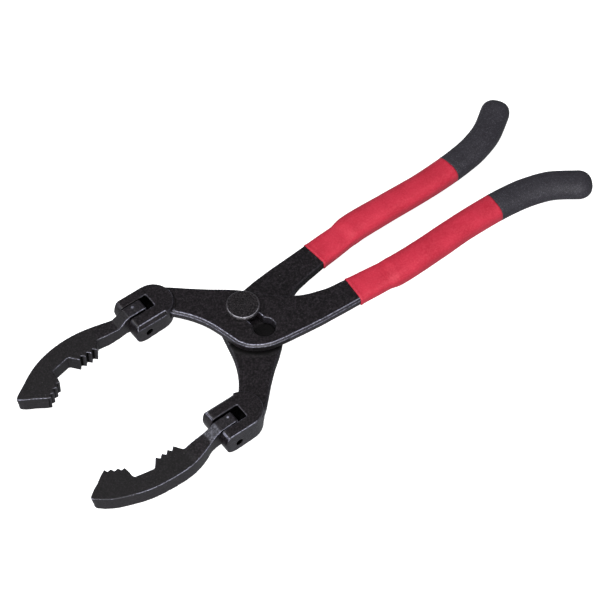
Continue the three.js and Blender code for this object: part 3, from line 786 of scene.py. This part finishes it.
HEAD_EDGE_Z = -0.4  # the head's upper edge is above this, its foot above HEAD_FOOT_Z
HEAD_FOOT_Z = -1.2
HEAD_LIT = 118  # degrees; the rim's painted highlight is brightest on the opposite side of the head


# painted highlight on the head's rim, strongest on one side, as the light falls
def pin_rim_highlight(points, facing):
    x, y, z = points.T
    angle = np.degrees(np.arctan2(y, x))
    lit = (0.5 + 0.5 * np.cos(np.radians(angle + HEAD_LIT))) ** 2
    return first([(z > HEAD_EDGE_Z, 0.4 + 0.95 * lit), (z > HEAD_FOOT_Z, 0.1 + 0.6 * lit)], 0.1)


def pin_dimple(part, normal, marks):
    """The centre mark in the head."""
    x, y, z = part.co.T
    part.co[:, 2] -= (z > -0.9) * 0.12 * np.exp(-(np.hypot(x, y) / 0.9) ** 2)


forge("pivot_pin_turned", "pivot_pin", "pivot", PIN_STEEL, 0.27, 2, rub_and_highlight=pin_rim_highlight,
      shape=pin_dimple, skin=0.02, line=0.3)
forge("pivot_collar_ring", "pivot_collar", "pivot", PIN_STEEL, 0.35, 3, skin=0.015)

# ---- Grips -------------------------------------------------------------------------------------

# x, y of the centre line, half width, half height, superellipse exponent
GRIP_STATIONS = np.array([
    (64.4, 10.2, 8.6, 4.5, 3.6), (77, 11.3, 8.5, 4.6, 3.4), (87, 12.2, 8.5, 4.9, 3.2),
    (97, 13.5, 9.5, 6.4, 2.8), (110, 13.7, 9.7, 7.1, 2.5), (130, 13.2, 9.4, 7.2, 2.5),
    (154, 12.5, 9.1, 7.2, 2.5), (174, 13, 9.1, 7.2, 2.5), (192, 14.5, 9.2, 7.2, 2.5),
    (206, 17, 9.3, 7.3, 2.5), (221, 22.2, 9.4, 7.4, 2.5), (236, 32, 9.7, 7.5, 2.5),
], dtype=float)
# The grips are a little fuller than the CAD: x, then millimetres added on the photo's far side
# (+y) and on its near side
FULLER_X = (64, 77, 87, 97, 110, 130, 150, 180, 200, 221, 236)
FULLER_FAR = (1.75, 1.7, 1.35, 1.1, 0.8, 0.85, 1.1, 1.3, 1.35, 1.2, 0.4)
FULLER_NEAR = (1.55, 1.45, 1.05, 0.4, 0.05, 0, 0, 0, 0, 0, 0)
GRIP_JOIN = 0.664  # where red meets charcoal, as a share of the stations
GRIP_SIDES = 96
GRIP_WAVE = 0.12
RING_STEP = 0.9
CAP_LENGTH = 9.4
CAP_RINGS = 15
LIP = ((0.0, 1.3), (0.04, 0.7), (0.16, 0.3), (0.4, 0.06))  # distance along, distance inwards
LIP_END = 0.4
LIP_FADE = 1.6


def along_path(t):
    """The centre line and its direction at t, from 0 to 1 over the stations."""
    last = len(GRIP_STATIONS) - 1
    at = min(max(t, 0), 1) * last
    i = min(int(at), last - 1)
    w = at - i
    picks = [max(i - 1, 0), i, i + 1, min(i + 2, last)]
    p0, p1, p2, p3 = GRIP_STATIONS[picks, :2]
    v0, v1 = (p2 - p0) / 2, (p3 - p1) / 2
    a, b = 2 * p1 - 2 * p2 + v0 + v1, -3 * p1 + 3 * p2 - 2 * v0 - v1
    point = a * w ** 3 + b * w ** 2 + v0 * w + p1
    slope = 3 * a * w ** 2 + 2 * b * w + v0
    return point, slope / np.hypot(*slope)


PATH_T = np.linspace(0, 1, 1200)
PATH = np.array([along_path(t)[0] for t in PATH_T])
PATH_S = np.concatenate([[0], np.cumsum(np.hypot(*np.diff(PATH, axis=0).T))])
PATH_END = PATH_S[-1]


def section_at(s):
    """Point, direction, half width, half height and exponent at a length along the grip."""
    t = float(np.interp(s, PATH_S, PATH_T))
    point, direction = along_path(t)
    at = t * (len(GRIP_STATIONS) - 1)
    i = min(int(at), len(GRIP_STATIONS) - 2)
    w = at - i
    w = w * w * (3 - 2 * w)
    width, height, power = (1 - w) * GRIP_STATIONS[i, 2:] + w * GRIP_STATIONS[i + 1, 2:]
    return point, direction, width, height, power


def superellipse(power, width, height):
    """The two coordinates of a ring of points round a section."""
    angle = np.linspace(0, 2 * math.pi, GRIP_SIDES, endpoint=False)
    cos, sin = np.cos(angle), np.sin(angle)
    across = np.sign(cos) * np.abs(cos) ** (2 / power) * width
    up = np.sign(sin) * np.abs(sin) ** (2 / power) * height
    return across, up


def ring_at(lever, s, scale=1.0, swell=0.0):
    """A ring of points round the grip at length s, which may be past the path's end."""
    point, direction, width, height, power = section_at(min(max(s, 0), PATH_END))
    if s > PATH_END:
        point = point + direction * (s - PATH_END)
    across, up = superellipse(power, width * scale + swell, height * scale + swell)
    far, near = (np.interp(point[0], FULLER_X, row) for row in (FULLER_FAR, FULLER_NEAR))
    towards_far = -across if lever["mirror"] else across
    across = across * (1 + np.where(towards_far > 0, far, near) / width)
    x = point[0] - direction[1] * across
    y = point[1] + direction[0] * across
    return [on_lever(lever, *p) * MM for p in zip(x, y, PLATE / 2 + up)]


def skinned(name, rings, end_middle):
    """A closed mesh object over the rings, with a fan of faces on each end."""
    bm = bmesh.new()
    loops = [[bm.verts.new(p) for p in ring] for ring in rings]
    for near, far in zip(loops, loops[1:]):
        for i in range(GRIP_SIDES):
            j = (i + 1) % GRIP_SIDES
            bm.faces.new((near[i], near[j], far[j], far[i]))
    start_middle = sum((v.co for v in loops[0]), Vector()) / GRIP_SIDES
    end_middle = end_middle or sum((v.co for v in loops[-1]), Vector()) / GRIP_SIDES
    for loop, middle in ((loops[0], start_middle), (loops[-1], end_middle)):
        hub = bm.verts.new(middle)
        for i in range(GRIP_SIDES):
            bm.faces.new((loop[i], loop[(i + 1) % GRIP_SIDES], hub))
    bmesh.ops.recalc_face_normals(bm, faces=bm.faces)
    mesh = bpy.data.meshes.new(name)
    bm.to_mesh(mesh)
    bm.free()
    obj = bpy.data.objects.new(name, mesh)
    bpy.context.scene.collection.objects.link(obj)
    return obj


def sweep(name, lever, start, end, capped, lip, body, node, material):
    """A length of grip with a rolled lip at its start and, when capped, a round end."""
    rings = [ring_at(lever, start + along, 1.0, lip - inwards) for along, inwards in LIP]
    count = max(2, int((end - start) / RING_STEP))
    for i in range(1, count + 1):
        s = start + LIP_END + (end - start - LIP_END) * i / count
        rings.append(ring_at(lever, s, 1.0, lip * math.exp(-((s - start) / LIP_FADE) ** 2)))
    tip = None
    if capped:
        for i in range(1, CAP_RINGS):
            angle = i / CAP_RINGS * math.pi / 2
            rings.append(ring_at(lever, PATH_END + CAP_LENGTH * math.sin(angle), math.cos(angle) ** 0.8))
        point, direction, *_ = section_at(PATH_END)
        tip = on_lever(lever, *(point + direction * CAP_LENGTH), PLATE / 2) * MM
    obj = skinned(name, rings, tip)
    part = Skin(obj.data)
    wave = np.array([noise.noise(Vector(p) * 0.06) for p in part.co])
    part.co += part.normals() * (GRIP_WAVE * wave)[:, None]
    part.write()
    obj.data.shade_smooth()
    obj.data.materials.append(material)
    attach(obj, body)
    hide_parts(node)


JOIN_S = float(np.interp(GRIP_JOIN, PATH_T, PATH_S))
for which, lever in LEVERS.items():
    sweep(f"grip_{which}_red", lever, 0, JOIN_S, False, 0.25, f"{which}_lever",
          f"grip_{which}", RED)
    sweep(f"grip_{which}_end", lever, JOIN_S, PATH_END, True, 0.12, f"{which}_lever",
          f"grip_tip_{which}", CHARCOAL)

# ---- Floor, lights, camera ---------------------------------------------------------------------

FLOOR_Z = CAD_BOX[0][2] - 2.0 * MM  # just clear of the lower jaw, which is deeper than the CAD's


def floor():
    """A pale floor that glows evenly, so that the picture's ground stays white to its edges."""
    bm = bmesh.new()
    bmesh.ops.create_grid(bm, x_segments=8, y_segments=8, size=3.0)
    mesh = bpy.data.meshes.new("floor")
    bm.to_mesh(mesh)
    bm.free()
    obj = bpy.data.objects.new("floor", mesh)
    obj.location.z = FLOOR_Z
    bpy.context.scene.collection.objects.link(obj)
    s = Shader("floor_white", Roughness=0.9, Specular_IOR_Level=0.1)
    s.bsdf.inputs["Base Color"].default_value = (0.7, 0.7, 0.7, 1)
    s.bsdf.inputs["Emission Color"].default_value = (1, 1, 1, 1)
    s.bsdf.inputs["Emission Strength"].default_value = 0.9
    mesh.materials.append(s.material)
    obj.visible_diffuse = False
    obj.visible_glossy = False


floor()

TARGET = Vector((35.4, -17.5, -10.25)) * MM
AZIMUTH, ELEVATION, DISTANCE = math.radians(-37), math.radians(55), 1.6
BACK = Vector((
    math.sin(AZIMUTH) * math.cos(ELEVATION),
    -math.cos(AZIMUTH) * math.cos(ELEVATION),
    math.sin(ELEVATION),
))


def soft_light(name, azimuth, elevation, distance, size, watts):
    """An area light aimed at the part; azimuth as the camera's, elevation above the floor."""
    a, e = math.radians(azimuth), math.radians(elevation)
    away = Vector((math.sin(a) * math.cos(e), -math.cos(a) * math.cos(e), math.sin(e)))
    data = bpy.data.lights.new(name, "AREA")
    data.shape = "RECTANGLE"
    data.size, data.size_y = size
    data.energy = watts
    obj = bpy.data.objects.new(name, data)
    obj.location = TARGET + away * distance
    obj.rotation_euler = away.to_track_quat("Z", "Y").to_euler()
    bpy.context.scene.collection.objects.link(obj)


soft_light("overhead", -50, 70, 1.5, (1.3, 0.7), 21)
soft_light("left", -127, 40, 1.6, (0.9, 0.5), 8)
soft_light("front", -37, 22, 1.6, (1.6, 0.4), 24)


def studio_world():
    """Cool surroundings, brighter below the horizon than above it."""
    world = bpy.data.worlds.new("studio")
    world.use_nodes = True
    nodes, links = world.node_tree.nodes, world.node_tree.links
    direction = nodes.new("ShaderNodeTexCoord")
    split = nodes.new("ShaderNodeSeparateXYZ")
    links.new(direction.outputs["Generated"], split.inputs[0])
    height = nodes.new("ShaderNodeMapRange")
    links.new(split.outputs["Z"], height.inputs["Value"])
    for key, value in (("From Min", -0.25), ("From Max", 0.25), ("To Min", 0.5), ("To Max", 0.14)):
        height.inputs[key].default_value = value
    links.new(height.outputs["Result"], nodes["Background"].inputs["Strength"])
    nodes["Background"].inputs["Color"].default_value = (0.93, 0.95, 1.0, 1)
    bpy.context.scene.world = world


studio_world()
bpy.context.scene.view_settings.view_transform = "Standard"

camera_data = bpy.data.cameras.new("camera")
camera_data.lens = 148
camera_data.sensor_width = 36
camera_data.clip_start = 0.05
camera_data.dof.use_dof = False
camera = bpy.data.objects.new("camera", camera_data)
camera.location = TARGET + BACK * DISTANCE
camera.rotation_euler = BACK.to_track_quat("Z", "Y").to_euler()
bpy.context.scene.collection.objects.link(camera)
bpy.context.scene.camera = camera
